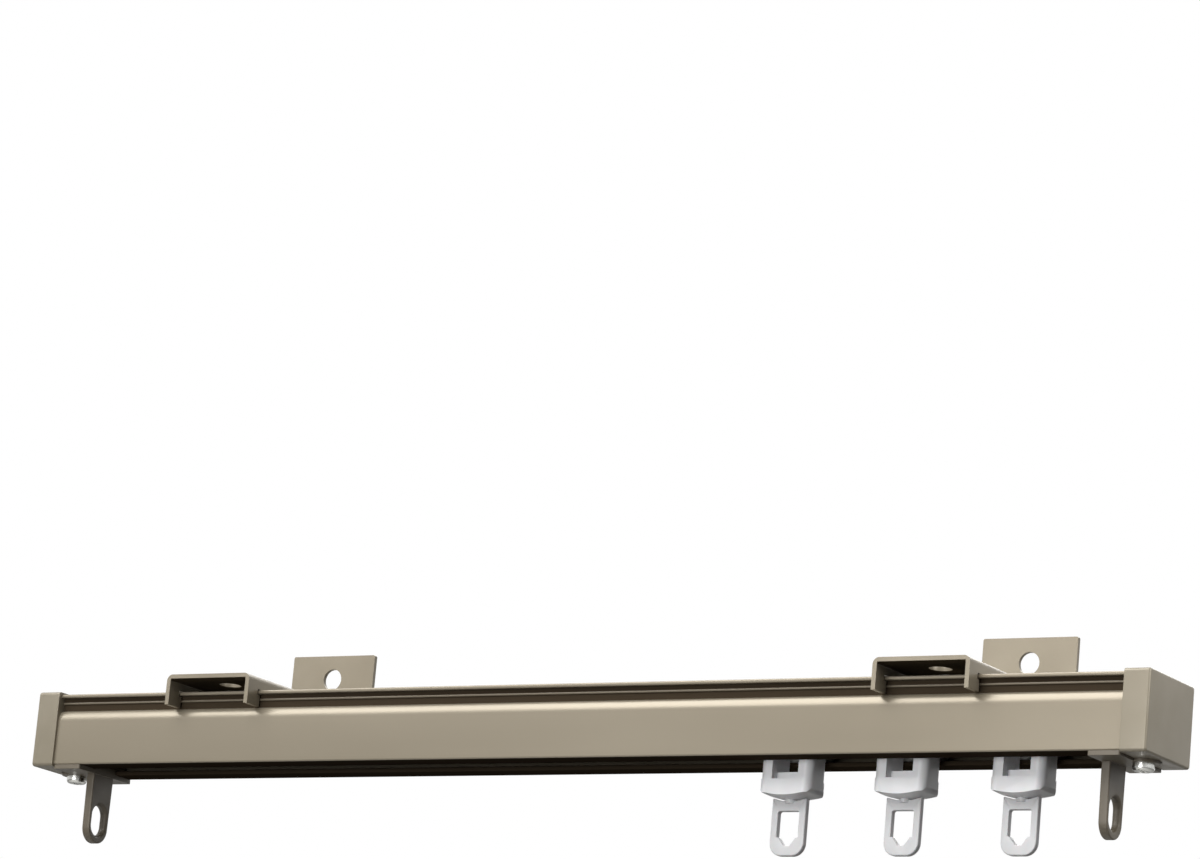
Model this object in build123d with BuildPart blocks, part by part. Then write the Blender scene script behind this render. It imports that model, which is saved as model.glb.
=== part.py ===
from build123d import *
import os

# Curtain track for wall or ceiling fixing. All sizes are in millimetres.
# The origin lies on the wall, midway between the two wall screw holes.
# +X runs along the rail, to the right as seen from the room, +Y goes into the wall, +Z is up.

# Rail: extruded section with a top flange, a groove under it, a rounded shoulder and a bottom slot
rail_length = 327.8
rail_width = 24.2
rail_height = 19.9
rail_wall = 1.2
lip_thickness = 1.2
slot_width = 10.0
flange_inset = 0.45
flange_thickness = 1.0
groove_depth = 2.0
groove_height = 3.6
shoulder_height = 3.2
rib_radius = 0.4
rib_below_flange = 1.4
flange_edge_radius = 0.35
rail_corner_radius = 0.5
lip_edge_radius = 0.3

# Where the rail hangs
rail_to_wall = 43.2
wall_hole_above_rail = 14.0
left_bracket_from_end = 53.2
right_bracket_from_end = 54.6

# Brackets: folded sheet channel over the rail, with a plate against the wall
bracket_width = 27.6
bracket_sheet = 1.2
bracket_nose = 4.4
bracket_above_rail = 3.9
arm_below_rail_top = 4.4
wall_plate_above_hole = 6.8
bracket_fold_radius = 1.8
plate_corner_radius = 0.5
screw_hole_diameter = 6.0
ceiling_hole_forward = 6.0
hook_gap = 0.3
flange_gap = 0.25
arm_rear_heel = 3.0
gusset_end_gap = 2.6
gusset_depth = 3.4

# End caps: moulded heads that butt on the rail ends, with a hollow plug inside the rail
cap_length = 7.2
cap_front_overhang = 0.8
cap_top_overhang = 0.6
cap_bottom_overhang = 0.5
cap_edge_radius = 0.9
plug_length = 8.0
plug_gap = 0.2
plug_wall = 1.4
boss_width = 7.0
boss_height = 9.0

# End stops: plate under the rail end, tongue under the cap, key in the slot, hanging eyelet
stop_length = 8.9
stop_thickness = 1.2
stop_cap_gap = 0.1
tongue_width = 8.4
tongue_gap = 0.2
key_gap = 0.3
eyelet_thickness = 2.5
eyelet_inset = 0.3
eyelet_top_width = 9.2
eyelet_radius = 4.3
eyelet_drop = 18.9
eyelet_hole_width = 5.8
eyelet_hole_height = 8.4
eyelet_hole_above_end = 6.4
eyelet_edge_radius = 0.4
eyelet_hole_radius = 0.95

# Screws up through the tongue into the plug boss
screw_past_rail_end = 0.7
screw_shank_diameter = 2.9
screw_shank_length = 9.0
screw_head_diameter = 5.6
screw_head_height = 2.0
screw_head_radius = 0.9
screw_gap = 0.05
cross_length = 3.2
cross_width = 0.7
cross_depth = 1.1

# Runners
runner_count = 3
runner_pitch = 33.1
last_runner_from_end = 32.0
wheel_radius = 3.6
wheel_space = 0.6
wheel_lip_gap = 0.05
wheel_slot_gap = 0.4
wheel_wall_gap = 1.5
wheel_edge_radius = 0.4
wheel_recess = 0.6
wheel_rim = 0.9
hub_radius = 2.0
hub_gap = 0.3
axle_radius = 0.9
axle_overhang = 0.4
axle_end_radius = 0.25
axle_running_gap = 0.05
wheel_fit_gap = 0.01
neck_gap = 0.6
leg_width = 3.7
pocket_depth = 2.7
web_top = 2.6
beam_above_lip = 0.9
beam_above_axle = 2.75
body_corner_radius = 2.2
chin_top = 4.7
chin_bottom = 8.2
chin_proud = 0.35
chin_side_proud = 0.1
chin_corner_radius = 2.4
chin_end_radius = 2.7
cone_drop = 1.3
cone_tip_radius = 2.2

# Hook tabs: stem with a captive head, tab with a hole for the curtain hook
stem_radius = 1.6
stem_gap = 0.1
head_radius = 2.7
head_thickness = 1.2
head_seat = 1.7
head_gap = 0.1
tab_width = 10.0
tab_thickness = 1.8
tab_clearance = 0.3
tab_bottom = 24.1
tab_corner_radius = 3.4
tab_edge_radius = 0.35
tab_hole_width = 6.2
tab_hole_top = 12.5
tab_hole_straight = 19.3
tab_hole_bottom = 21.5
tab_hole_step = 0.6
tab_hole_tip = 1.6
tab_hole_corner = 0.6

# Worked out from the sizes above
rail_half = rail_width / 2
cavity_half = rail_half - rail_wall
slot_half = slot_width / 2
flange_half = rail_half - flange_inset
neck_half = rail_half - groove_depth
neck_inner = neck_half - rail_wall
groove_top = rail_height - flange_thickness
shoulder_top = groove_top - groove_height
face_top = shoulder_top - shoulder_height
rail_y = -rail_to_wall
rail_top_z = -wall_hole_above_rail
rail_z = rail_top_z - rail_height
hole_spacing = rail_length - left_bracket_from_end - right_bracket_from_end
rail_left_x = -hole_spacing / 2 - left_bracket_from_end
rail_right_x = rail_left_x + rail_length
wheel_axis_z = lip_thickness + wheel_lip_gap + wheel_radius
axle_pitch = 2 * wheel_radius + wheel_space
runner_length = axle_pitch + 2 * wheel_radius
neck_depth = slot_width - 2 * neck_gap
wheel_inner = slot_half + wheel_slot_gap
wheel_outer = cavity_half - wheel_wall_gap
cone_apex = chin_bottom + cone_drop
chin_length = runner_length + 2 * chin_side_proud
cone_slope = cone_drop / (chin_length / 2 - cone_tip_radius)

os.makedirs("parts", exist_ok=True)


def save(builder, label):
    """Label a finished piece and write it to its own STEP file."""
    builder.part.label = label
    export_step(builder.part, f"parts/{label}.step")


def section_plane(x, side=1):
    """Plane across the rail at x, facing +X or -X. Its origin is the middle of the rail's underside."""
    return Plane(origin=(x, rail_y, rail_z), x_dir=(0, side, 0), z_dir=(side, 0, 0))


def lengthwise_plane(x, y, z):
    """Plane that faces the room, with its own x along the rail and its own y upwards."""
    return Plane(origin=(x, y, z), x_dir=(1, 0, 0), z_dir=(0, -1, 0))


def level_plane(x, z):
    """Horizontal plane over the middle of the rail, at a height above the rail's underside."""
    return Plane(origin=(x, rail_y, rail_z + z), x_dir=(1, 0, 0), z_dir=(0, 0, 1))


def at_corner(sketch, across, up):
    """Corners of the open sketch at plus or minus across, and up."""
    return [
        v for v in sketch.vertices()
        if abs(abs(v.X) - across) < 0.001 and abs(v.Y - up) < 0.001
    ]


def cavity_outline(gap):
    """Outline of the hollow inside the rail, taken in by a gap on every side."""
    with BuildSketch() as outline:
        with BuildLine():
            top = rail_height - rail_wall - gap
            wide = cavity_half - gap
            narrow = neck_inner - gap
            Polyline((0, lip_thickness + gap), (wide, lip_thickness + gap), (wide, face_top))
            EllipticalCenterArc(
                (narrow, face_top), wide - narrow, shoulder_height - rail_wall, arc_size=90
            )
            Polyline((narrow, face_top + shoulder_height - rail_wall), (narrow, top), (0, top))
            mirror(about=Plane.YZ)
        make_face()
    return outline.sketch


def build_rail():
    """Extruded rail: flange, ribbed groove, elliptical shoulder, flat face and two lips beside the slot."""
    rib = groove_top - rib_below_flange
    hollow = cavity_outline(0)
    with BuildPart() as rail:
        with BuildSketch(section_plane(rail_left_x)) as section:
            with BuildLine():
                Polyline(
                    (0, rail_height),
                    (flange_half, rail_height),
                    (flange_half, groove_top),
                    (neck_half, groove_top),
                    (neck_half, rib + rib_radius),
                )
                ThreePointArc(
                    (neck_half, rib + rib_radius),
                    (neck_half + rib_radius, rib),
                    (neck_half, rib - rib_radius),
                )
                Line((neck_half, rib - rib_radius), (neck_half, shoulder_top))
                EllipticalCenterArc((neck_half, face_top), groove_depth, shoulder_height, arc_size=90)
                Polyline((rail_half, face_top), (rail_half, 0), (0, 0))
                mirror(about=Plane.YZ)
            make_face()
            add(hollow, mode=Mode.SUBTRACT)
            with Locations((0, lip_thickness / 2)):
                Rectangle(slot_width, lip_thickness, mode=Mode.SUBTRACT)
            fillet(at_corner(section, flange_half, rail_height), flange_edge_radius)
            fillet(at_corner(section, flange_half, groove_top), flange_edge_radius)
            fillet(at_corner(section, rail_half, 0), rail_corner_radius)
            fillet(at_corner(section, slot_half, 0), lip_edge_radius)
            fillet(at_corner(section, slot_half, lip_thickness), lip_edge_radius)
        extrude(amount=rail_length)
    save(rail, "rail")


def build_end_cap(name, rail_end_x, side):
    """Moulded cap: rounded head against the rail end, hollow plug in the rail, boss for the screw."""
    screw_x = rail_end_x + side * screw_past_rail_end
    head_height = rail_height + cap_top_overhang + cap_bottom_overhang
    head_middle = (rail_height + cap_top_overhang - cap_bottom_overhang) / 2
    plug_outer = cavity_outline(plug_gap)
    plug_inner = cavity_outline(plug_gap + plug_wall)
    with BuildPart() as cap:
        with BuildSketch(section_plane(rail_end_x, side)):
            with Locations((0, head_middle)):
                RectangleRounded(rail_width + 2 * cap_front_overhang, head_height, cap_edge_radius)
        extrude(amount=cap_length)
        outer_rim = cap.faces().sort_by(Axis.X)[-1 if side > 0 else 0].edges()
        fillet(outer_rim, cap_edge_radius * 0.8)
        with BuildSketch(section_plane(rail_end_x, side)):
            add(plug_outer)
            add(plug_inner, mode=Mode.SUBTRACT)
        extrude(amount=-plug_length)
        with BuildSketch(section_plane(rail_end_x, side)):
            with Locations((0, lip_thickness + plug_gap + boss_height / 2)):
                Rectangle(boss_width, boss_height)
        extrude(amount=-(boss_width / 2 - screw_past_rail_end))
        # Recess under the head for the tongue of the end stop, open towards the rail
        with BuildSketch(level_plane(rail_end_x, -cap_bottom_overhang)):
            with Locations((side * screw_past_rail_end / 2, 0)):
                Rectangle(screw_past_rail_end, tongue_width + 2 * tongue_gap)
            with Locations((side * screw_past_rail_end, 0)):
                Circle(tongue_width / 2 + tongue_gap)
            with Locations((-side * tongue_width, 0)):
                Rectangle(2 * tongue_width, 2 * tongue_width, mode=Mode.SUBTRACT)
        extrude(amount=cap_bottom_overhang, mode=Mode.SUBTRACT)
        with BuildSketch(level_plane(screw_x, 0)):
            Circle(screw_shank_diameter / 2 + screw_gap)
        extrude(amount=screw_shank_length, mode=Mode.SUBTRACT)
    save(cap, name)


def build_end_stop(name, rail_end_x, side):
    """End stop: plate and tongue, key in the slot, eyelet with a dished hole."""
    screw_x = rail_end_x + side * screw_past_rail_end
    inner_x = rail_end_x - side * (stop_length + stop_cap_gap)
    eyelet_x = inner_x + side * (eyelet_inset + eyelet_thickness / 2)
    plate_x = inner_x + side * stop_length / 2
    round_centre = stop_thickness + eyelet_drop - eyelet_radius
    with BuildPart() as stop:
        with BuildSketch(level_plane(0, -stop_thickness)):
            with Locations((plate_x, 0)):
                RectangleRounded(stop_length, rail_width, rail_corner_radius)
            with Locations(((plate_x + screw_x) / 2, 0)):
                Rectangle(abs(screw_x - plate_x), tongue_width)
            with Locations((screw_x, 0)):
                Circle(tongue_width / 2)
        extrude(amount=stop_thickness)
        with BuildSketch(level_plane(plate_x, 0)):
            Rectangle(stop_length, slot_width - 2 * key_gap)
        extrude(amount=lip_thickness)
        with BuildSketch(section_plane(eyelet_x - eyelet_thickness / 2)):
            with BuildLine():
                Polyline(
                    (-eyelet_top_width / 2, -stop_thickness / 2),
                    (eyelet_top_width / 2, -stop_thickness / 2),
                    (eyelet_radius, -round_centre),
                    (-eyelet_radius, -round_centre),
                    close=True,
                )
            make_face()
            with Locations((0, -round_centre)):
                Circle(eyelet_radius)
            with Locations((0, -(stop_thickness + eyelet_drop - eyelet_hole_above_end))):
                SlotOverall(eyelet_hole_height, eyelet_hole_width, rotation=90, mode=Mode.SUBTRACT)
        extrude(amount=eyelet_thickness)
        # Soft rims, and a dished hole
        eyelet_faces = stop.faces().filter_by(Axis.X).group_by(Axis.Z)[0]
        fillet([e for face in eyelet_faces for e in face.inner_wires()[0].edges()], eyelet_hole_radius)
        eyelet_faces = stop.faces().filter_by(Axis.X).group_by(Axis.Z)[0]
        rim = [e for face in eyelet_faces for e in face.outer_wire().edges().sort_by(Axis.Z)[:-1]]
        fillet(rim, eyelet_edge_radius)
        with BuildSketch(level_plane(screw_x, -stop_thickness)):
            Circle(screw_shank_diameter / 2 + screw_gap)
        extrude(amount=stop_thickness + lip_thickness, mode=Mode.SUBTRACT)
    save(stop, name)


def build_screw(name, rail_end_x, side):
    """Pan-head screw with a cross recess, driven upwards through the tongue."""
    screw_x = rail_end_x + side * screw_past_rail_end
    with BuildPart() as screw:
        with BuildSketch(level_plane(screw_x, -stop_thickness)):
            Circle(screw_head_diameter / 2)
        extrude(amount=-screw_head_height)
        fillet(screw.edges().sort_by(Axis.Z)[0], screw_head_radius)
        with BuildSketch(level_plane(screw_x, -stop_thickness - screw_head_height)):
            Rectangle(cross_length, cross_width)
            Rectangle(cross_width, cross_length)
        extrude(amount=cross_depth, mode=Mode.SUBTRACT)
        with BuildSketch(level_plane(screw_x, -stop_thickness)):
            Circle(screw_shank_diameter / 2)
        extrude(amount=screw_shank_length - screw_gap)
        chamfer(screw.edges().sort_by(Axis.Z)[-1], screw_shank_diameter / 6)
    save(screw, name)


def build_bracket(name, middle_x):
    """Folded bracket: channel over the rail with a notch each side for the flange, plate on the wall."""
    nose = -(rail_half + bracket_nose)
    top = rail_height + bracket_above_rail
    under = top - bracket_sheet
    arm_bottom = rail_height - arm_below_rail_top
    tip = neck_half + rib_radius + hook_gap
    pocket = flange_half + hook_gap
    channel_end = rail_to_wall - gusset_end_gap
    heel = rail_half + arm_rear_heel
    plate_top = rail_height + wall_hole_above_rail + wall_plate_above_hole
    fold_inner = bracket_fold_radius - bracket_sheet
    side_plane = section_plane(middle_x - bracket_width / 2)
    with BuildPart() as bracket:
        # Channel: sheet folded down along both sides
        with BuildSketch(lengthwise_plane(middle_x, rail_y + channel_end, rail_z)) as channel:
            with Locations((0, (top + arm_bottom) / 2)):
                Rectangle(bracket_width, top - arm_bottom)
            with Locations((0, (under + arm_bottom) / 2)):
                Rectangle(bracket_width - 2 * bracket_sheet, under - arm_bottom, mode=Mode.SUBTRACT)
            fillet(at_corner(channel, bracket_width / 2, top), bracket_fold_radius)
            fillet(at_corner(channel, bracket_width / 2 - bracket_sheet, under), fold_inner)
        extrude(amount=channel_end - nose)
        # Notches that take the flange, and the sloping underside of the rear gussets
        with BuildSketch(side_plane):
            with BuildLine():
                Polyline(
                    (-tip, arm_bottom - 1),
                    (-tip, groove_top - flange_gap),
                    (-pocket, groove_top - flange_gap),
                    (-pocket, rail_height + flange_gap),
                    (pocket, rail_height + flange_gap),
                    (pocket, groove_top - flange_gap),
                    (tip, groove_top - flange_gap),
                    (tip, arm_bottom - 1),
                    close=True,
                )
            make_face()
            with BuildLine():
                Polyline(
                    (heel, arm_bottom - 1),
                    (heel, arm_bottom),
                    (channel_end, top - gusset_depth),
                    (channel_end, arm_bottom - 1),
                    close=True,
                )
            make_face()
        extrude(amount=bracket_width, mode=Mode.SUBTRACT)
        # The top runs on to the wall and folds up into the wall plate
        with BuildSketch(side_plane) as strip:
            with BuildLine():
                Polyline(
                    (channel_end, top),
                    (channel_end, under),
                    (rail_to_wall, under),
                    (rail_to_wall, plate_top),
                    (rail_to_wall - bracket_sheet, plate_top),
                    (rail_to_wall - bracket_sheet, top),
                    close=True,
                )
            make_face()
            fillet(at_corner(strip, rail_to_wall - bracket_sheet, top), fold_inner)
            fillet(at_corner(strip, rail_to_wall, under), bracket_fold_radius)
        extrude(amount=bracket_width)
        plate_corners = bracket.edges().filter_by(Axis.Y).group_by(Axis.Z)[-1]
        fillet(plate_corners, plate_corner_radius)
        # Wall screw hole and ceiling screw hole
        with BuildSketch(lengthwise_plane(middle_x, 0, 0)):
            Circle(screw_hole_diameter / 2)
        extrude(amount=bracket_sheet, mode=Mode.SUBTRACT)
        with BuildSketch(level_plane(middle_x, under)):
            with Locations((0, -ceiling_hole_forward)):
                Circle(screw_hole_diameter / 2)
        extrude(amount=bracket_sheet, mode=Mode.SUBTRACT)
    save(bracket, name)


def build_runner_body(name, x):
    """Moulded runner: axle beam, two legs down through the slot, web between them, chin for the hook."""
    beam_bottom = lip_thickness + beam_above_lip
    beam_top = wheel_axis_z + beam_above_axle
    chin_height = cone_apex - chin_top
    chin_depth = neck_depth + 2 * chin_proud
    pocket_width = runner_length - 2 * leg_width
    with BuildPart() as body:
        with BuildSketch(level_plane(x, -chin_top)):
            RectangleRounded(runner_length, neck_depth, body_corner_radius)
        extrude(amount=chin_top + beam_top)
        with BuildSketch(level_plane(x, -cone_apex)):
            RectangleRounded(chin_length, chin_depth, chin_corner_radius)
        extrude(amount=chin_height)
        # Lower outline as seen from the room: round ends that fall towards the swivel
        with BuildSketch(lengthwise_plane(x, rail_y + chin_depth, rail_z)) as outline:
            with BuildLine():
                Polyline(
                    (0, beam_top),
                    (chin_length / 2, beam_top),
                    (chin_length / 2, -chin_bottom),
                    (cone_tip_radius, -cone_apex),
                    (0, -cone_apex),
                )
                mirror(about=Plane.YZ)
            make_face()
            fillet(at_corner(outline, chin_length / 2, -chin_bottom), chin_end_radius)
        extrude(amount=2 * chin_depth, mode=Mode.INTERSECT)
        # The underside is a shallow cone round the swivel
        with BuildSketch(lengthwise_plane(x, rail_y, rail_z)):
            with BuildLine():
                Polyline(
                    (0, beam_top),
                    (chin_length, beam_top),
                    (chin_length, cone_slope * chin_length / 2 - chin_bottom),
                    (cone_tip_radius, -cone_apex),
                    (0, -cone_apex),
                    close=True,
                )
            make_face()
        revolve(axis=Axis((x, rail_y, rail_z), (0, 0, 1)), mode=Mode.INTERSECT)
        # Pocket on each side, which leaves the web, and the window between web and beam
        with BuildSketch(lengthwise_plane(x, rail_y - neck_depth / 2 + pocket_depth, rail_z)):
            with Locations((0, (beam_bottom - chin_top) / 2)):
                Rectangle(pocket_width, beam_bottom + chin_top)
        extrude(amount=chin_depth, mode=Mode.SUBTRACT)
        with BuildSketch(lengthwise_plane(x, rail_y + neck_depth / 2 - pocket_depth, rail_z)):
            with Locations((0, (beam_bottom - chin_top) / 2)):
                Rectangle(pocket_width, beam_bottom + chin_top)
        extrude(amount=-chin_depth, mode=Mode.SUBTRACT)
        with BuildSketch(lengthwise_plane(x, rail_y + neck_depth, rail_z)):
            with Locations((0, (beam_bottom - web_top) / 2)):
                Rectangle(pocket_width, beam_bottom + web_top)
        extrude(amount=2 * neck_depth, mode=Mode.SUBTRACT)
        # Axle bores, stem hole and the seat of the stem's head
        with BuildSketch(lengthwise_plane(x, rail_y + neck_depth, rail_z)):
            with Locations((-axle_pitch / 2, wheel_axis_z), (axle_pitch / 2, wheel_axis_z)):
                Circle(axle_radius + axle_running_gap)
        extrude(amount=2 * neck_depth, mode=Mode.SUBTRACT)
        with BuildSketch(level_plane(x, -cone_apex)):
            Circle(stem_radius + stem_gap)
        extrude(amount=chin_height, mode=Mode.SUBTRACT)
        with BuildSketch(level_plane(x, -chin_top - head_seat)):
            Circle(head_radius + stem_gap)
        extrude(amount=head_seat, mode=Mode.SUBTRACT)
    save(body, name)


def build_hook(name, x):
    """Swivelling hook: flat tab with a hole that narrows downwards, round stem and captive head."""
    tab_half = tab_width / 2
    seat_z = -chin_top - head_seat + head_gap
    # The tab's top edge follows the cone under the chin, a clearance below it
    middle = -cone_apex - tab_clearance
    shoulder = middle + cone_slope * (tab_half - cone_tip_radius)
    hole_half = tab_hole_width / 2
    with BuildPart() as hook:
        with BuildSketch(lengthwise_plane(x, rail_y + tab_thickness / 2, rail_z)) as tab:
            with BuildLine():
                Polyline(
                    (0, middle),
                    (cone_tip_radius, middle),
                    (tab_half, shoulder),
                    (tab_half, -tab_bottom),
                    (0, -tab_bottom),
                )
                mirror(about=Plane.YZ)
            make_face()
            fillet(at_corner(tab, tab_half, -tab_bottom), tab_corner_radius)
            with BuildLine():
                Polyline(
                    (0, -tab_hole_top),
                    (hole_half, -tab_hole_top),
                    (hole_half, -tab_hole_straight),
                    (hole_half - tab_hole_step, -tab_hole_straight),
                    (tab_hole_tip / 2, -tab_hole_bottom),
                    (0, -tab_hole_bottom),
                )
                mirror(about=Plane.YZ)
            make_face(mode=Mode.SUBTRACT)
            fillet(at_corner(tab, hole_half, -tab_hole_top), tab_hole_corner)
        extrude(amount=tab_thickness)
        outer_edges = [
            e for face in hook.faces().filter_by(Axis.Y) for e in face.outer_wire().edges()
            if e.center().Z < rail_z + middle - tab_clearance
        ]
        fillet(outer_edges, tab_edge_radius)
        with BuildSketch(level_plane(x, middle - tab_edge_radius * 2)):
            Circle(stem_radius)
        extrude(amount=seat_z - middle + tab_edge_radius * 2)
        with BuildSketch(level_plane(x, seat_z)):
            Circle(head_radius)
        extrude(amount=head_thickness)
    save(hook, name)


def build_axle(name, x):
    """Steel pin across the runner, with rounded ends."""
    half_length = wheel_outer + axle_overhang
    with BuildPart() as axle:
        with BuildSketch(lengthwise_plane(x, rail_y + half_length, rail_z + wheel_axis_z)):
            Circle(axle_radius)
        extrude(amount=2 * half_length)
        fillet(axle.edges().filter_by(GeomType.CIRCLE), axle_end_radius)
    save(axle, name)


def build_wheel(name, x, side):
    """Wheel turned round the axle: rounded rim, dished web and a hub towards the runner."""
    tread = Plane(
        origin=(x, rail_y, rail_z + wheel_axis_z), x_dir=(0, side, 0), z_dir=(side, 0, 0)
    )
    bore = axle_radius + wheel_fit_gap
    hub_inner = neck_depth / 2 + hub_gap
    rim_inner = wheel_radius - wheel_rim
    with BuildPart() as wheel:
        with BuildSketch(tread) as section:
            with BuildLine():
                Polyline(
                    (hub_inner, bore),
                    (hub_inner, hub_radius),
                    (wheel_inner, hub_radius),
                    (wheel_inner, wheel_radius),
                    (wheel_outer, wheel_radius),
                    (wheel_outer, rim_inner),
                    (wheel_outer - wheel_recess, rim_inner),
                    (wheel_outer - wheel_recess, hub_radius),
                    (wheel_outer, hub_radius),
                    (wheel_outer, bore),
                    close=True,
                )
            make_face()
            fillet(at_corner(section, wheel_inner, wheel_radius), wheel_edge_radius)
            fillet(at_corner(section, wheel_outer, wheel_radius), wheel_edge_radius)
        revolve(axis=Axis((x, rail_y, rail_z + wheel_axis_z), (0, 1, 0)))
    save(wheel, name)


build_rail()
for side_name, end_x, direction in (("left", rail_left_x, -1), ("right", rail_right_x, 1)):
    build_end_cap(f"end_cap_{side_name}", end_x, direction)
    build_end_stop(f"end_stop_{side_name}", end_x, direction)
    build_screw(f"stop_screw_{side_name}", end_x, direction)
    build_bracket(f"bracket_{side_name}", direction * hole_spacing / 2)

for number in range(1, runner_count + 1):
    runner_x = rail_right_x - last_runner_from_end - (runner_count - number) * runner_pitch
    build_runner_body(f"runner_{number}_body", runner_x)
    build_hook(f"runner_{number}_hook", runner_x)
    for letter, offset in (("a", -axle_pitch / 2), ("b", axle_pitch / 2)):
        axle_x = runner_x + offset
        build_axle(f"runner_{number}_axle_{letter}", axle_x)
        build_wheel(f"runner_{number}_wheel_{letter}_front", axle_x, -1)
        build_wheel(f"runner_{number}_wheel_{letter}_rear", axle_x, 1)
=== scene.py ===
import math
import bmesh
import bpy
import numpy as np
from mathutils import Matrix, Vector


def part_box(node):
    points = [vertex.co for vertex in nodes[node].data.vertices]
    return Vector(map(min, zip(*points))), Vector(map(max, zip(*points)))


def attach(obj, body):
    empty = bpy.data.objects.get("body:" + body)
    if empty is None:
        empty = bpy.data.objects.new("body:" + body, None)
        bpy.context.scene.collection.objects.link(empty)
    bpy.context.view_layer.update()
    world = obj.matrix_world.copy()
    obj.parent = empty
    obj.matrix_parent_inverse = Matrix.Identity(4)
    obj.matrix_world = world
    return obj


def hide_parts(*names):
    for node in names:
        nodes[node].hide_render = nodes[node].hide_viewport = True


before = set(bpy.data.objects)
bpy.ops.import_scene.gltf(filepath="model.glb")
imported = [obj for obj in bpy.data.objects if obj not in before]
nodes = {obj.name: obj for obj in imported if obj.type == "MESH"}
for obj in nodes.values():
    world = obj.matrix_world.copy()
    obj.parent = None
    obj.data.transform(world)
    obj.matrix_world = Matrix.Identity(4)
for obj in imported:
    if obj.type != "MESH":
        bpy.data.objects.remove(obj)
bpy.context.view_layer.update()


# The rail: one aluminium extrusion with a top flange, a ribbed groove, a rounded shoulder and a slot
# underneath, cut to length and powder coated in satin champagne. It hangs in the brackets by its flange.

MM = 0.001


def finish_colour(hex_code):
    """sRGB hex to linear: a channel c of up to 0.04045 becomes c / 12.92, any other one becomes
    ((c + 0.055) / 1.055) ** 2.4."""
    srgb = np.array([int(hex_code[i:i + 2], 16) / 255 for i in (1, 3, 5)])
    linear = np.where(srgb <= 0.04045, srgb / 12.92, ((srgb + 0.055) / 1.055) ** 2.4)
    return (*(float(c) for c in linear), 1.0)


def finish(name, colour, roughness, **sockets):
    """A new material, and its main shader with the given sockets set."""
    material = bpy.data.materials.new(name)
    material.use_nodes = True
    shader = material.node_tree.nodes["Principled BSDF"]
    shader.inputs["Base Color"].default_value = finish_colour(colour)
    shader.inputs["Roughness"].default_value = roughness
    for socket, value in sockets.items():
        shader.inputs[socket.replace("_", " ")].default_value = value
    return material, shader


def add_node(material, kind, **settings):
    """One more node in a material: attributes are set by name, and sockets by in_ and their name."""
    node = material.node_tree.nodes.new(kind)
    for key, value in settings.items():
        if key.startswith("in_"):
            node.inputs[key[3:].replace("_", " ")].default_value = value
        else:
            setattr(node, key, value)
    return node


def connect(material, source, target):
    """Links a node's output socket to another's input socket."""
    material.node_tree.links.new(source, target)


def grain(material, size_mm, stretch=(1, 1, 1), detail=2.0):
    """Noise on Object coordinates with cells of about size_mm, drawn out along an axis by stretch."""
    place = add_node(material, "ShaderNodeTexCoord")
    mapping = add_node(material, "ShaderNodeMapping")
    mapping.inputs["Scale"].default_value = [1 / (size_mm * MM * s) for s in stretch]
    noise = add_node(material, "ShaderNodeTexNoise", in_Scale=1.0, in_Detail=detail)
    connect(material, place.outputs["Object"], mapping.inputs["Vector"])
    connect(material, mapping.outputs["Vector"], noise.inputs["Vector"])
    return noise


def tint(material, shader, noise, dark, light):
    """Base colour runs from dark to light where the noise runs from 0.3 to 0.7."""
    ramp = add_node(material, "ShaderNodeValToRGB")
    ramp.color_ramp.elements[0].position = 0.3
    ramp.color_ramp.elements[0].color = finish_colour(dark)
    ramp.color_ramp.elements[1].position = 0.7
    ramp.color_ramp.elements[1].color = finish_colour(light)
    connect(material, noise.outputs["Fac"], ramp.inputs["Fac"])
    connect(material, ramp.outputs["Color"], shader.inputs["Base Color"])


def relief(material, shader, layers):
    """Bumps one over another: each layer is a noise and its height in millimetres."""
    below = None
    for noise, height_mm in layers:
        bump = add_node(material, "ShaderNodeBump", in_Distance=height_mm * MM, in_Strength=1.0)
        connect(material, noise.outputs["Fac"], bump.inputs["Height"])
        if below:
            connect(material, below.outputs["Normal"], bump.inputs["Normal"])
        below = bump
    connect(material, below.outputs["Normal"], shader.inputs["Normal"])


def gloss_range(material, shader, noise, low, high):
    """Roughness runs from low to high with the noise."""
    spread = add_node(material, "ShaderNodeMapRange", in_To_Min=low, in_To_Max=high)
    connect(material, noise.outputs["Fac"], spread.inputs["Value"])
    connect(material, spread.outputs["Result"], shader.inputs["Roughness"])


# Satin champagne powder coat on aluminium: a fine orange peel over faint die lines along the rail
rail_coat, shader = finish("champagne_powder_coat_extrusion", "#8b8272", 0.32, Metallic=0.35)
tint(rail_coat, shader, grain(rail_coat, 45, (3, 1, 1)), "#867d6c", "#918877")
gloss_range(rail_coat, shader, grain(rail_coat, 9, (6, 1, 1)), 0.28, 0.36)
die_lines = grain(rail_coat, 0.22, (400, 1, 1), 1.0)
relief(rail_coat, shader, [(die_lines, 0.004), (grain(rail_coat, 0.45), 0.006)])


def within(material, axis, middle, reach, fade=0.3):
    """1 where an Object coordinate is closer to middle than reach, falling to 0 over fade, which are
    all three in millimetres."""
    place = add_node(material, "ShaderNodeTexCoord")
    axes = add_node(material, "ShaderNodeSeparateXYZ")
    connect(material, place.outputs["Object"], axes.inputs[0])
    offset = add_node(material, "ShaderNodeMath", operation="SUBTRACT")
    offset.inputs[1].default_value = middle * MM
    connect(material, axes.outputs[axis], offset.inputs[0])
    away = add_node(material, "ShaderNodeMath", operation="ABSOLUTE")
    connect(material, offset.outputs[0], away.inputs[0])
    near = add_node(
        material, "ShaderNodeMapRange", in_From_Min=(reach + fade) * MM, in_From_Max=reach * MM
    )
    connect(material, away.outputs[0], near.inputs["Value"])
    return near.outputs["Result"]


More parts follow.
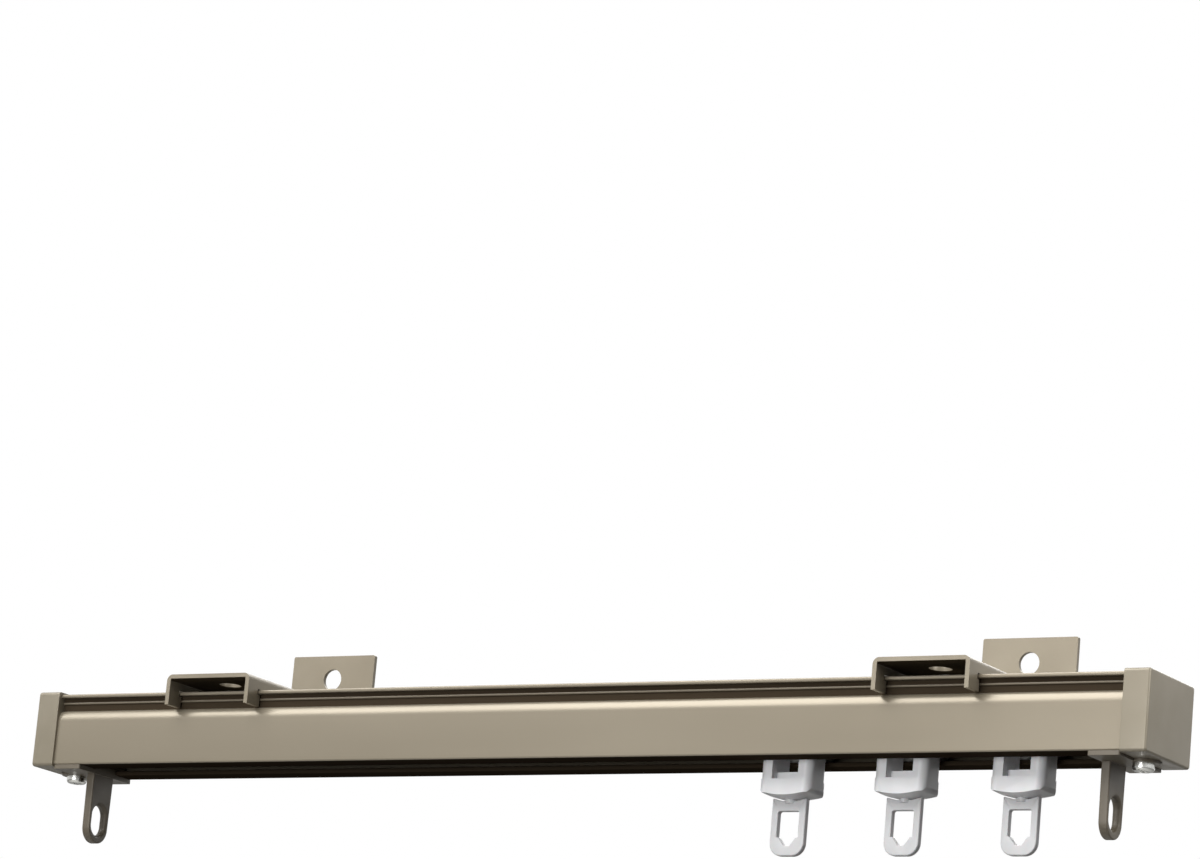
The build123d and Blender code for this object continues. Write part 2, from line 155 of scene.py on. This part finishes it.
def combined(material, operation, *factors):
    """Factors joined one after another by a Math operation."""
    result = factors[0]
    for factor in factors[1:]:
        joined = add_node(material, "ShaderNodeMath", operation=operation)
        connect(material, result, joined.inputs[0])
        connect(material, factor, joined.inputs[1])
        result = joined.outputs[0]
    return result


def painted_shade(material, shader, mask, colour):
    """Painted shade for a groove or a hollow: where the mask is 1, the coat takes the given dark colour
    and its reflection is dimmed.
    """
    mix = add_node(material, "ShaderNodeMix", data_type="RGBA")
    coat = shader.inputs["Base Color"].links[0].from_socket
    connect(material, mask, mix.inputs[0])
    connect(material, coat, mix.inputs[6])
    mix.inputs[7].default_value = finish_colour(colour)
    connect(material, mix.outputs[2], shader.inputs["Base Color"])
    for socket in ("Specular IOR Level", "Metallic"):
        full = shader.inputs[socket].default_value
        shaded_gloss = add_node(material, "ShaderNodeMapRange", in_To_Min=full, in_To_Max=0.0)
        connect(material, mask, shaded_gloss.inputs["Value"])
        connect(material, shaded_gloss.outputs["Result"], shader.inputs[socket])


def corner(before, at, after, radius, count=7):
    """Arc that rounds a corner: its tangent points lie radius / tan(half the angle) from the corner, and
    its points are c + radius (cos a, sin a) about the centre c on the bisector."""
    before, at, after = (np.asarray(point, float) for point in (before, at, after))
    back = (before - at) / np.linalg.norm(before - at)
    ahead = (after - at) / np.linalg.norm(after - at)
    half = math.acos(float(np.clip(back @ ahead, -1, 1))) / 2
    bisector = (back + ahead) / np.linalg.norm(back + ahead)
    centre = at + bisector * radius / math.sin(half)
    first = at + back * radius / math.tan(half) - centre
    last = at + ahead * radius / math.tan(half) - centre
    turn = math.atan2(first[0] * last[1] - first[1] * last[0], first @ last)
    angle = math.atan2(first[1], first[0]) + turn * np.linspace(0, 1, count)
    return centre + radius * np.stack([np.cos(angle), np.sin(angle)], -1)


def quarter_ellipse(centre, across, up, count=22):
    """Points c + (across cos t, up sin t), with t from 0 to 90 degrees."""
    t = np.linspace(0, math.pi / 2, count)
    return np.asarray(centre) + np.stack([across * np.cos(t), up * np.sin(t)], -1)


def grid(rings, closed_rings=False, ends=True):
    """Points and faces of a surface on a grid of rings: point j of ring i joins point j + 1 and the same
    two points of ring i + 1. Each end is closed by one face, or the last ring joins the first."""
    rings = np.asarray(rings, float)
    count, around = rings.shape[:2]
    index = np.arange(count * around).reshape(count, around)
    if closed_rings:
        index = np.concatenate([index, index[:1]])
    wide = np.concatenate([index, index[:, :1]], 1)
    quads = np.stack([wide[:-1, :-1], wide[:-1, 1:], wide[1:, 1:], wide[1:, :-1]], -1)
    faces = quads.reshape(-1, 4).tolist()
    if ends and not closed_rings:
        faces += [index[0][::-1].tolist(), index[-1].tolist()]
    return rings.reshape(-1, 3), faces


def piece(name, shells, material, body, replaces, sharp=35):
    """One object of one or more closed shells, in millimetres: welded, its faces turned outwards, shaded
    smooth where faces meet at less than sharp degrees. It rides on its body and takes over from the
    nodes named."""
    points, faces, start = [], [], 0
    for shell_points, shell_faces in shells:
        points.append(shell_points)
        faces += [[start + i for i in face] for face in shell_faces]
        start += len(shell_points)
    mesh = bpy.data.meshes.new(name)
    mesh.from_pydata(np.concatenate(points) * MM, [], faces)
    tidy = bmesh.new()
    tidy.from_mesh(mesh)
    bmesh.ops.remove_doubles(tidy, verts=tidy.verts, dist=1e-6)
    bmesh.ops.recalc_face_normals(tidy, faces=tidy.faces)
    tidy.to_mesh(mesh)
    tidy.free()
    mesh.polygons.foreach_set("use_smooth", np.ones(len(mesh.polygons), bool))
    mesh.set_sharp_from_angle(angle=math.radians(sharp))
    mesh.materials.append(material)
    made = bpy.data.objects.new(name, mesh)
    bpy.context.scene.collection.objects.link(made)
    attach(made, body)
    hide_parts(*replaces)


def place_of(node):
    """Lowest and highest corner of a solid of the track, in millimetres."""
    low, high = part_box(node)
    return np.array(low) / MM, np.array(high) / MM


rail_low, rail_high = place_of("rail")
track_y = (rail_low[1] + rail_high[1]) / 2
track_z = rail_low[2]
# Half of the section: distances from its middle, and heights above its underside
half, height, wall, lip, slot = 12.1, 19.9, 1.2, 1.2, 5.0
flange, neck, groove, shoulder, face = half - 0.45, half - 2.0, height - 1.0, height - 4.6, height - 7.8
rib, rib_radius = groove - 1.4, 0.4
flange_edge, face_edge, lip_edge, inner_edge = 0.35, 0.5, 0.3, 0.2
# Painted shade: in the groove, inside the rail and on the underside, where shade falls, the coat is
# darkened and its reflection dimmed.
# Each mask fades out before it reaches an open face.
groove_shade = combined(
    rail_coat,
    "MULTIPLY",
    within(rail_coat, "Y", track_y, neck + 0.15, 0.4),
    within(rail_coat, "Z", track_z, height - 0.7),
)
underside_shade = combined(
    rail_coat,
    "MULTIPLY",
    within(rail_coat, "Y", track_y, half - 0.35, 0.2),
    within(rail_coat, "Z", track_z, 0.1, 0.2),
)
# 3f362b is the painted shade colour of the groove, the rail's inside and its underside
painted_shade(rail_coat, shader, combined(rail_coat, "MAXIMUM", groove_shade, underside_shade), "#3f362b")
turn = np.linspace(math.pi / 2, -math.pi / 2, 9)
right_side = np.concatenate([
    [(0, height)],
    corner((0, height), (flange, height), (flange, groove), flange_edge),
    corner((flange, height), (flange, groove), (neck, groove), flange_edge),
    [(neck, groove)],
    np.stack([neck + rib_radius * np.cos(turn), rib + rib_radius * np.sin(turn)], -1),
    quarter_ellipse((neck, face), half - neck, shoulder - face)[::-1],
    corner((half, face), (half, 0), (slot, 0), face_edge),
    corner((half, 0), (slot, 0), (slot, lip), lip_edge),
    corner((slot, 0), (slot, lip), (half - wall, lip), lip_edge),
    corner((slot, lip), (half - wall, lip), (half - wall, face), inner_edge),
    quarter_ellipse((neck - wall, face), half - neck, shoulder - face - wall),
    corner((neck - wall, shoulder), (neck - wall, height - wall), (0, height - wall), inner_edge),
    [(0, height - wall)],
])
section = np.concatenate([right_side, (right_side[1:-1] * (-1, 1))[::-1]])[::-1]
# Sawn square at both ends
rail_grid = np.stack([
    np.stack([np.full(len(section), x), track_y + section[:, 0], track_z + section[:, 1]], -1)
    for x in (rail_low[0], rail_high[0])
])
piece("rail_extrusion", [grid(rail_grid)], rail_coat, "track", ["rail"], 25)


# Two folded sheet brackets: 1.2 mm steel bent into a channel that hooks over the rail's flange. The top
# runs on to the wall and turns up into a plate with a screw hole. They are powder coated after bending.

# The rail's coat on steel: a satin sheen that is a little less even, with a coarser peel, and rounder
# where it builds up on a cut edge
sheet_coat, shader = finish("champagne_powder_coat_sheet", "#8b8272", 0.38, Metallic=0.3)
tint(sheet_coat, shader, grain(sheet_coat, 18), "#867d6c", "#908776")
gloss_range(sheet_coat, shader, grain(sheet_coat, 6), 0.34, 0.44)
relief(sheet_coat, shader, [(grain(sheet_coat, 0.5), 0.012), (grain(sheet_coat, 5.0), 0.03)])


def eased(name, node, material, body, width_mm, sharp=38):
    """A welded copy of a solid, its flat faces made whole and each edge over the sharp angle rounded."""
    mesh = nodes[node].data.copy()
    mesh.name = name
    weld = bmesh.new()
    weld.from_mesh(mesh)
    bmesh.ops.remove_doubles(weld, verts=weld.verts, dist=2e-6)
    bmesh.ops.dissolve_limit(weld, angle_limit=math.radians(0.6), verts=weld.verts, edges=weld.edges)
    weld.to_mesh(mesh)
    weld.free()
    mesh.materials.clear()
    mesh.materials.append(material)
    mesh.polygons.foreach_set("use_smooth", np.ones(len(mesh.polygons), bool))
    mesh.set_sharp_from_angle(angle=math.radians(sharp))
    made = bpy.data.objects.new(name, mesh)
    bpy.context.scene.collection.objects.link(made)
    edge = made.modifiers.new("broken_edges", "BEVEL")
    edge.width = width_mm * MM
    edge.segments = 3
    edge.limit_method = "ANGLE"
    edge.angle_limit = math.radians(sharp)
    edge.harden_normals = True
    edge.use_clamp_overlap = True
    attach(made, body)
    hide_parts(node)


# Painted shade inside the channel, where shade falls: between its sides and under its top, the coat is
# darkened and its reflection dimmed
sheet, above_rail, channel_reach, fade = 1.2, 3.9, 20, 0.05
between_sides = []
for side in ("left", "right"):
    low, high = place_of(f"bracket_{side}")
    reach = (high[0] - low[0]) / 2 - sheet - fade
    between_sides.append(within(sheet_coat, "X", (low[0] + high[0]) / 2, reach, fade))
under_top = track_z + height + above_rail - sheet
channel_shade = combined(
    sheet_coat,
    "MULTIPLY",
    combined(sheet_coat, "MAXIMUM", *between_sides),
    within(sheet_coat, "Z", under_top - channel_reach, channel_reach + fade, fade),
)
# 4a4134 is the painted shade colour inside the brackets' channels
painted_shade(sheet_coat, shader, channel_shade, "#4a4134")
for side in ("left", "right"):
    node = f"bracket_{side}"
    eased(f"sheet_bracket_{side}", node, sheet_coat, node, 0.18)


# Two end caps: nylon mouldings in the rail's colour that butt on its ends, each with a hollow plug inside
# the rail. A screw from below holds each one.

# Moulded nylon: an even satin skin with the fine grain of a sparked mould, drawn at a quarter of a
# millimetre so that it shows
cap_plastic, shader = finish("champagne_moulded_nylon_cap", "#847b6b", 0.38, Metallic=0.2)
tint(cap_plastic, shader, grain(cap_plastic, 12), "#807867", "#888070")
gloss_range(cap_plastic, shader, grain(cap_plastic, 4), 0.32, 0.42)
relief(cap_plastic, shader, [(grain(cap_plastic, 0.25), 0.006)])
for side in ("left", "right"):
    eased(f"moulded_cap_{side}", f"end_cap_{side}", cap_plastic, "track", 0.25)


# Two end stops: nylon mouldings with a plate across the slot, a tongue that the cap's screw clamps, and
# an eyelet that hangs from the plate and takes the last curtain hook.

# The caps' nylon, made some shades darker as painted shade for the eyelets, which hang in the rail's
# shadow: satin, so that the eyelet's round rim catches the light
stop_nylon_painted_shade, shader = finish("champagne_nylon_stop_painted_shade", "#5f574a", 0.42, Metallic=0.05)
tint(stop_nylon_painted_shade, shader, grain(stop_nylon_painted_shade, 9), "#5b5346", "#645c4e")
gloss_range(stop_nylon_painted_shade, shader, grain(stop_nylon_painted_shade, 3), 0.4, 0.52)
relief(stop_nylon_painted_shade, shader, [(grain(stop_nylon_painted_shade, 0.22), 0.006)])
for side in ("left", "right"):
    eased(f"moulded_stop_{side}", f"end_stop_{side}", stop_nylon_painted_shade, "track", 0.15)


# Two pan-head screws with a cross recess: headed steel wire with a rolled thread, zinc plated. Each one
# is driven up through the end stop's tongue into the cap.

# Bright zinc plate: a mirror-like metal that is a little cloudy where the plating is thicker
zinc, shader = finish("bright_zinc_plate", "#c4c4c0", 0.24, Metallic=1.0)
gloss_range(zinc, shader, grain(zinc, 0.6), 0.18, 0.34)
relief(zinc, shader, [(grain(zinc, 0.3), 0.003)])


def turned(profile, centre, axis="z", around=64):
    """A profile of (radius, distance) points turned round an axis through centre: r (cos a, sin a) across
    the axis and the distance along it. Points at radius 0 close it."""
    profile = np.asarray(profile, float)
    a = np.linspace(0, 2 * math.pi, around, endpoint=False)
    across = profile[:, :1] * np.cos(a)
    upward_part = profile[:, :1] * np.sin(a)
    along_axis = np.repeat(profile[:, 1:], around, 1)
    order = {"z": (across, upward_part, along_axis), "y": (across, along_axis, upward_part)}[axis]
    return grid(np.stack(order, -1) + np.asarray(centre, float), ends=False)


def cross_recess(x, y, reach=1.65, half_width=0.33, depth=1.15):
    """Depth of a cross recess: across an arm it is depth times (half_width - |v|) / 0.12, and along it
    depth times (reach - |u|) / (0.45 reach), both kept between 0 and 1."""
    def arm(u, v):
        inside = np.clip((half_width - np.abs(v)) / 0.12, 0, 1)
        return inside * np.clip((reach - np.abs(u)) / (0.45 * reach), 0, 1)
    return depth * np.maximum(arm(x, y), arm(y, x))


head_height, head_round, around = 2.0, 0.9, 120
core_radius, thread_depth, pitch, plain_length, run_in, point_radius, point_length = (
    1.12, 0.33, 1.0, 1.0, 0.6, 0.5, 0.6
)
for side in ("left", "right"):
    low, high = place_of(f"stop_screw_{side}")
    middle = (low + high) / 2
    head_radius = (high[0] - low[0]) / 2
    seat = low[2] + head_height
    # Head: a flat-topped pan, as a polar grid whose height is lowered by the recess
    t = np.linspace(0, math.pi / 2, 10)
    flat = head_radius - head_round
    radius = np.concatenate([np.linspace(0.02, flat, 26), flat + head_round * np.sin(t[1:])])
    drop = np.concatenate([np.zeros(26), head_round - head_round * np.cos(t[1:])])
    a = np.linspace(0, 2 * math.pi, around, endpoint=False)
    x, y = radius[:, None] * np.cos(a), radius[:, None] * np.sin(a)
    head_z = low[2] + drop[:, None] + cross_recess(x, y)
    head_top = np.stack([x + middle[0], y + middle[1], head_z], -1)
    rim = np.stack([x[-1] + middle[0], y[-1] + middle[1], np.full(around, seat)], -1)
    # Shank: a helical thread, whose radius is the core's plus a triangle wave of z / pitch - turns
    z = np.linspace(0, high[2] - seat - point_length, 110)[:, None]
    wave = (z / pitch - a / (2 * math.pi)) % 1.0
    ridge = np.clip(1 - np.abs(wave - 0.5) * 4, 0, 1)
    thread = core_radius + thread_depth * ridge * np.clip((z - plain_length) / run_in, 0, 1)
    shank = np.stack([
        middle[0] + thread * np.cos(a),
        middle[1] + thread * np.sin(a),
        seat + z + np.zeros(around),
    ], -1)
    point = np.stack([
        middle[0] + point_radius * np.cos(a),
        middle[1] + point_radius * np.sin(a),
        np.full(around, high[2]),
    ], -1)
    screw_grid = np.concatenate([head_top, rim[None], shank, point[None]])
    replaced = [f"stop_screw_{side}"]
    piece(f"pan_head_screw_{side}", [grid(screw_grid)], zinc, "track", replaced, 30)


# Three runners: acetal mouldings whose legs pass up through the slot to a beam that carries two axles. A
# window in the web saves material, and the chin below holds the hook.

# Pale grey acetal: waxy and slightly translucent, with faint waves where it shrank in the mould
acetal, shader = finish(
    "pale_grey_acetal_body", "#efeff1", 0.36, Subsurface_Weight=0.05, Subsurface_Scale=0.002
)
tint(acetal, shader, grain(acetal, 8), "#ebebed", "#f2f2f3")
gloss_range(acetal, shader, grain(acetal, 3), 0.3, 0.42)
relief(acetal, shader, [(grain(acetal, 0.3), 0.004), (grain(acetal, 3.0), 0.02)])
for number in (1, 2, 3):
    node, body = f"runner_{number}_body", f"runner_{number}"
    eased(f"moulded_runner_{number}", node, acetal, body, 0.3, 30)


# Wheels and axles inside the rail: moulded acetal wheels with a dished side, pressed on ground steel pins
# of 1.8 mm. Two wheelsets of one pin and two wheels turn in each runner's beam.

# Natural acetal: creamy white and smooth, with a soft gloss where it rolls
wheel_acetal, shader = finish("natural_acetal_wheel", "#dddcd8", 0.32)
tint(wheel_acetal, shader, grain(wheel_acetal, 3), "#d8d7d2", "#e2e1dd")
gloss_range(wheel_acetal, shader, grain(wheel_acetal, 1.5), 0.26, 0.38)
relief(wheel_acetal, shader, [(grain(wheel_acetal, 0.2), 0.003)])
# Ground steel: bright, with fine marks along the pin from the drawn wire, a tenth of a millimetre apart
# so that they show
pin_steel, shader = finish("ground_steel_pin", "#bdbdba", 0.22, Metallic=1.0)
gloss_range(pin_steel, shader, grain(pin_steel, 0.4, (1, 12, 1)), 0.16, 0.3)
relief(pin_steel, shader, [(grain(pin_steel, 0.1, (1, 20, 1)), 0.001)])
pin_end, fit_gap, hub, tread_set_back, dish_depth, rim_wall = 0.25, 0.01, 2.0, 0.7, 0.6, 0.9
for number in (1, 2, 3):
    for letter in "ab":
        body = f"runner_{number}_wheelset_{letter}"
        low, high = place_of(f"runner_{number}_axle_{letter}")
        centre = (low + high) / 2
        reach, pin = (high[1] - low[1]) / 2, (high[0] - low[0]) / 2
        ends = corner((0, reach), (pin, reach), (pin, 0), pin_end)
        profile = np.concatenate([[(0, reach)], ends, (ends * (1, -1))[::-1], [(0, -reach)]])
        pin_shell, replaced = turned(profile, centre, "y", 40), [f"runner_{number}_axle_{letter}"]
        piece(f"axle_pin_{number}_{letter}", [pin_shell], pin_steel, body, replaced)
        for end, sign in (("front", -1), ("rear", 1)):
            node = f"runner_{number}_wheel_{letter}_{end}"
            wheel_low, wheel_high = place_of(node)
            rim_radius = (wheel_high[2] - wheel_low[2]) / 2
            inner, outer = sorted(abs(np.array([wheel_low[1], wheel_high[1]]) - track_y))
            tread, bore, dish = inner + tread_set_back, pin + fit_gap, outer - dish_depth
            rim_inside = rim_radius - rim_wall
            loop = np.concatenate([
                [(bore, inner), (hub, inner)],
                corner((hub, inner), (hub, tread), (rim_radius, tread), 0.15, 4),
                corner((hub, tread), (rim_radius, tread), (rim_radius, outer), 0.4),
                corner((rim_radius, tread), (rim_radius, outer), (hub, outer), 0.4),
                corner((rim_radius, outer), (rim_inside, outer), (rim_inside, dish), 0.12, 4),
                corner((rim_inside, outer), (rim_inside, dish), (hub, dish), 0.15, 4),
                corner((rim_radius, dish), (hub, dish), (hub, outer), 0.15, 4),
                corner((hub, dish), (hub, outer), (bore, outer), 0.12, 4),
                [(bore, outer), (bore, inner)],
            ])
            wheel = turned(loop * (1, sign), (centre[0], track_y, centre[2]), "y", 72)
            name = f"runner_wheel_{number}_{letter}_{end}"
            piece(name, [wheel], wheel_acetal, body, [node], 30)


# Three swivel hooks: flat acetal mouldings with a hole that narrows to a point for the curtain hook, on a
# round stem whose head is held in the runner's chin.

# The runners' acetal, a shade greyer as painted shade: it evens out the light on the hooks, which catch
# more of it than the bodies in the rail's shadow. The same waxy satin, on flat faces
hook_plastic, shader = finish(
    "pale_grey_acetal_hook", "#cececf", 0.38, Subsurface_Weight=0.05, Subsurface_Scale=0.002
)
tint(hook_plastic, shader, grain(hook_plastic, 6), "#cacacb", "#d2d2d3")
gloss_range(hook_plastic, shader, grain(hook_plastic, 2), 0.32, 0.44)
relief(hook_plastic, shader, [(grain(hook_plastic, 0.25), 0.004)])


def rays(outline, centre, angles):
    """Where rays from a centre at the given angles meet a closed outline: its points are set 0.04 mm
    apart along it, and their radius is read by angle."""
    loop = np.concatenate([outline, outline[:1]]) - centre
    steps = np.concatenate([[0], np.cumsum(np.linalg.norm(np.diff(loop, axis=0), axis=1))])
    fine = np.arange(0, steps[-1], 0.04)
    dense = np.stack([np.interp(fine, steps, loop[:, k]) for k in (0, 1)], -1)
    bearing = np.arctan2(dense[:, 1], dense[:, 0]) % (2 * math.pi)
    order = np.argsort(bearing)
    distance = np.linalg.norm(dense, axis=1)
    radius = np.interp(angles, bearing[order], distance[order], period=2 * math.pi)
    return np.asarray(centre) + radius[:, None] * np.stack([np.cos(angles), np.sin(angles)], -1)


def pierced_plate(outer, hole, centre, thick, edge, rim, count=288):
    """Plate with a hole, as a closed band of section: out over the rounded rim, across the face, and
    back through the hole. Each point is its outline's, moved inwards by r (1 - cos f) and along the depth
    by r sin f at a rounded edge of radius r."""
    angles = np.linspace(0, 2 * math.pi, count, endpoint=False)
    loops = []
    for outline, radius, inwards, quarter in ((outer, edge, -1, (-1, 1)), (hole, rim, 1, (1, -1))):
        points = rays(outline, centre, angles)
        run = np.roll(points, -1, 0) - np.roll(points, 1, 0)
        outwards = np.stack([run[:, 1], -run[:, 0]], -1) / np.linalg.norm(run, axis=1, keepdims=True)
        for sign in quarter:
            f = np.linspace(0, 1, 6) * math.pi / 2
            f = f[::-1] if sign == quarter[0] else f
            for bend in f:
                moved = points + inwards * radius * (1 - math.cos(bend)) * outwards
                depth = sign * (thick / 2 - radius + radius * math.sin(bend))
                loops.append(np.concatenate([moved, np.full((count, 1), depth)], 1))
    return np.array(loops)


# Heights are from the rail's underside. The tab's top follows the cone under the chin
tab_top, tab_shoulder, cone_tip, tab_corner = -9.8, -9.13, 2.2, 3.4
thick, tab_edge, hole_edge = 1.8, 0.35, 0.22
hole_top, hole_straight, hole_bottom, hole_middle = -12.5, -19.3, -21.5, -16.6
hole_half, hole_step, hole_tip = 3.1, 2.5, 0.8
stem_radius, stem_bottom, stem_head, head_seat, head_top = 1.6, -10.5, 2.7, -6.3, -5.1
for number in (1, 2, 3):
    node = f"runner_{number}_hook"
    low, high = place_of(node)
    x = (low[0] + high[0]) / 2
    half_tab, bottom = (high[0] - low[0]) / 2, low[2] - track_z
    tab = np.concatenate([
        [(0, tab_top), (cone_tip, tab_top)],
        corner((cone_tip, tab_top), (half_tab, tab_shoulder), (half_tab, bottom), 0.15, 4),
        corner((half_tab, tab_shoulder), (half_tab, bottom), (0, bottom), tab_corner, 14),
    ])
    tab = np.concatenate([tab, (tab[1:] * (-1, 1))[::-1]])[::-1]
    gap = np.concatenate([
        corner((0, hole_top), (hole_half, hole_top), (hole_half, hole_straight), 0.6, 7),
        corner((hole_half, hole_top), (hole_half, hole_straight), (hole_step, hole_straight), 0.15, 4),
        corner((hole_half, hole_straight), (hole_step, hole_straight), (hole_tip, hole_bottom), 0.2, 4),
        corner((hole_step, hole_straight), (hole_tip, hole_bottom), (-hole_tip, hole_bottom), 0.4, 5),
    ])
    gap = np.concatenate([gap, (gap * (-1, 1))[::-1]])[::-1]
    rings = pierced_plate(tab, gap, (0, hole_middle), thick, tab_edge, hole_edge)
    plate = np.stack([x + rings[..., 0], track_y + rings[..., 2], track_z + rings[..., 1]], -1)
    stem = turned([
        (0, stem_bottom),
        (stem_radius, stem_bottom),
        (stem_radius, head_seat),
        (stem_head - 0.2, head_seat),
        (stem_head, head_seat + 0.15),
        (stem_head, head_top - 0.2),
        (stem_head - 0.2, head_top),
        (0, head_top),
    ], (x, track_y, track_z), "z", 48)
    shells = [grid(plate, closed_rings=True), stem]
    piece(f"swivel_hook_{number}", shells, hook_plastic, node, [node], 32)


# White light tent: the track hangs free, so the pale floor lies well below it. The backdrop is white for
# what the camera and a gloss see. Softboxes light the track from above, the front, the right and behind.
scene = bpy.context.scene
scene.view_settings.view_transform = "Standard"
floor_half, floor_z = 6.0, -0.75
floor_mesh = bpy.data.meshes.new("pale_floor")
corner_signs = ((-1, -1), (1, -1), (1, 1), (-1, 1))
floor_corners = [(x * floor_half, y * floor_half, floor_z) for x, y in corner_signs]
floor_mesh.from_pydata(floor_corners, [], [(0, 1, 2, 3)])
floor = bpy.data.objects.new("pale_floor", floor_mesh)
scene.collection.objects.link(floor)
floor_paint, floor_shader = finish("pale_floor_paint", "#d9d8d5", 0.9)


def seen_directly(material):
    """1 for a camera ray, a glossy ray or a ray through something clear, and 0 for the rest."""
    rays = add_node(material, "ShaderNodeLightPath")
    either = rays.outputs["Is Camera Ray"]
    for other in ("Is Glossy Ray", "Is Transmission Ray"):
        highest = add_node(material, "ShaderNodeMath", operation="MAXIMUM")
        connect(material, either, highest.inputs[0])
        connect(material, rays.outputs[other], highest.inputs[1])
        either = highest.outputs[0]
    return either


# Matt floor paint, pale where it is seen, and darker in the light that it sends back up
paler = add_node(floor_paint, "ShaderNodeMix", data_type="RGBA")
paler.inputs[6].default_value = finish_colour("#4a4947")
paler.inputs[7].default_value = finish_colour("#f4f3f0")
connect(floor_paint, seen_directly(floor_paint), paler.inputs[0])
connect(floor_paint, paler.outputs[2], floor_shader.inputs["Base Color"])
floor_mesh.materials.append(floor_paint)

# The tent's cloth sends more light from its top than from its sides
world = bpy.data.worlds.new("light_tent")
scene.world = world
world.use_nodes = True
sky = world.node_tree.nodes["Background"]
direction = add_node(world, "ShaderNodeTexCoord")
split = add_node(world, "ShaderNodeSeparateXYZ")
lift = add_node(
    world, "ShaderNodeMapRange", in_From_Min=-0.1, in_From_Max=0.9, in_To_Min=0.03, in_To_Max=0.2
)
choose = add_node(world, "ShaderNodeMix", data_type="FLOAT")
choose.inputs[3].default_value = 1.0
connect(world, direction.outputs["Generated"], split.inputs[0])
connect(world, split.outputs["Z"], lift.inputs["Value"])
connect(world, seen_directly(world), choose.inputs[0])
connect(world, lift.outputs["Result"], choose.inputs[2])
connect(world, choose.outputs[0], sky.inputs["Strength"])
sky.inputs["Color"].default_value = (1, 1, 1, 1)


def placed(right, up, back, place):
    """Matrix of an object with these axes for its x, y and z, and this place for its origin."""
    return Matrix(np.vstack([np.column_stack([right, up, back, place]), (0, 0, 0, 1)]).tolist())


def softbox(name, place, aim, size, watts):
    """Square area lamp at place, in metres, turned so that its -Z points at aim."""
    lamp = bpy.data.lights.new(name, "AREA")
    lamp.size = size
    lamp.energy = watts
    lamp_object = bpy.data.objects.new(name, lamp)
    back = np.subtract(place, aim)
    back = back / np.linalg.norm(back)
    side = np.cross((0, 0, 1), back)
    side /= np.linalg.norm(side)
    up = np.cross(back, side)
    lamp_object.matrix_world = placed(side, up, back, place)
    scene.collection.objects.link(lamp_object)


softbox("key_softbox", (-0.45, -0.85, 1.1), (0, -0.04, -0.02), 1.3, 31)
softbox("front_softbox", (-0.05, -1.5, -0.1), (0.05, -0.04, -0.02), 0.6, 10)
softbox("side_softbox", (0.28, -0.08, 0.05), (0.17, -0.04, -0.02), 0.1, 0.16)
softbox("back_softbox", (-0.35, 1.3, 0.6), (0, -0.03, -0.02), 0.8, 7)

# The camera stands low to the right of the track and looks up at it
azimuth, elevation, roll = (math.radians(a) for a in (32.45, -13.10, 5.17))
backward = np.array([
    math.sin(azimuth) * math.cos(elevation),
    -math.cos(azimuth) * math.cos(elevation),
    math.sin(elevation),
])
level = np.cross(-backward, (0, 0, 1))
level /= np.linalg.norm(level)
upright = np.cross(level, -backward)
right_hand = math.cos(roll) * level + math.sin(roll) * upright
upward = -math.sin(roll) * level + math.cos(roll) * upright
focal_in_pixels, picture_width = 5105.6, 1200
lens = bpy.data.cameras.new("camera")
lens.sensor_width = 36.0
lens.lens = lens.sensor_width * focal_in_pixels / picture_width
lens.clip_start = 0.01
camera = bpy.data.objects.new("camera", lens)
place = (0.7120, -1.1654, -0.2519)
camera.matrix_world = placed(right_hand, upward, backward, place)
scene.collection.objects.link(camera)
scene.camera = camera
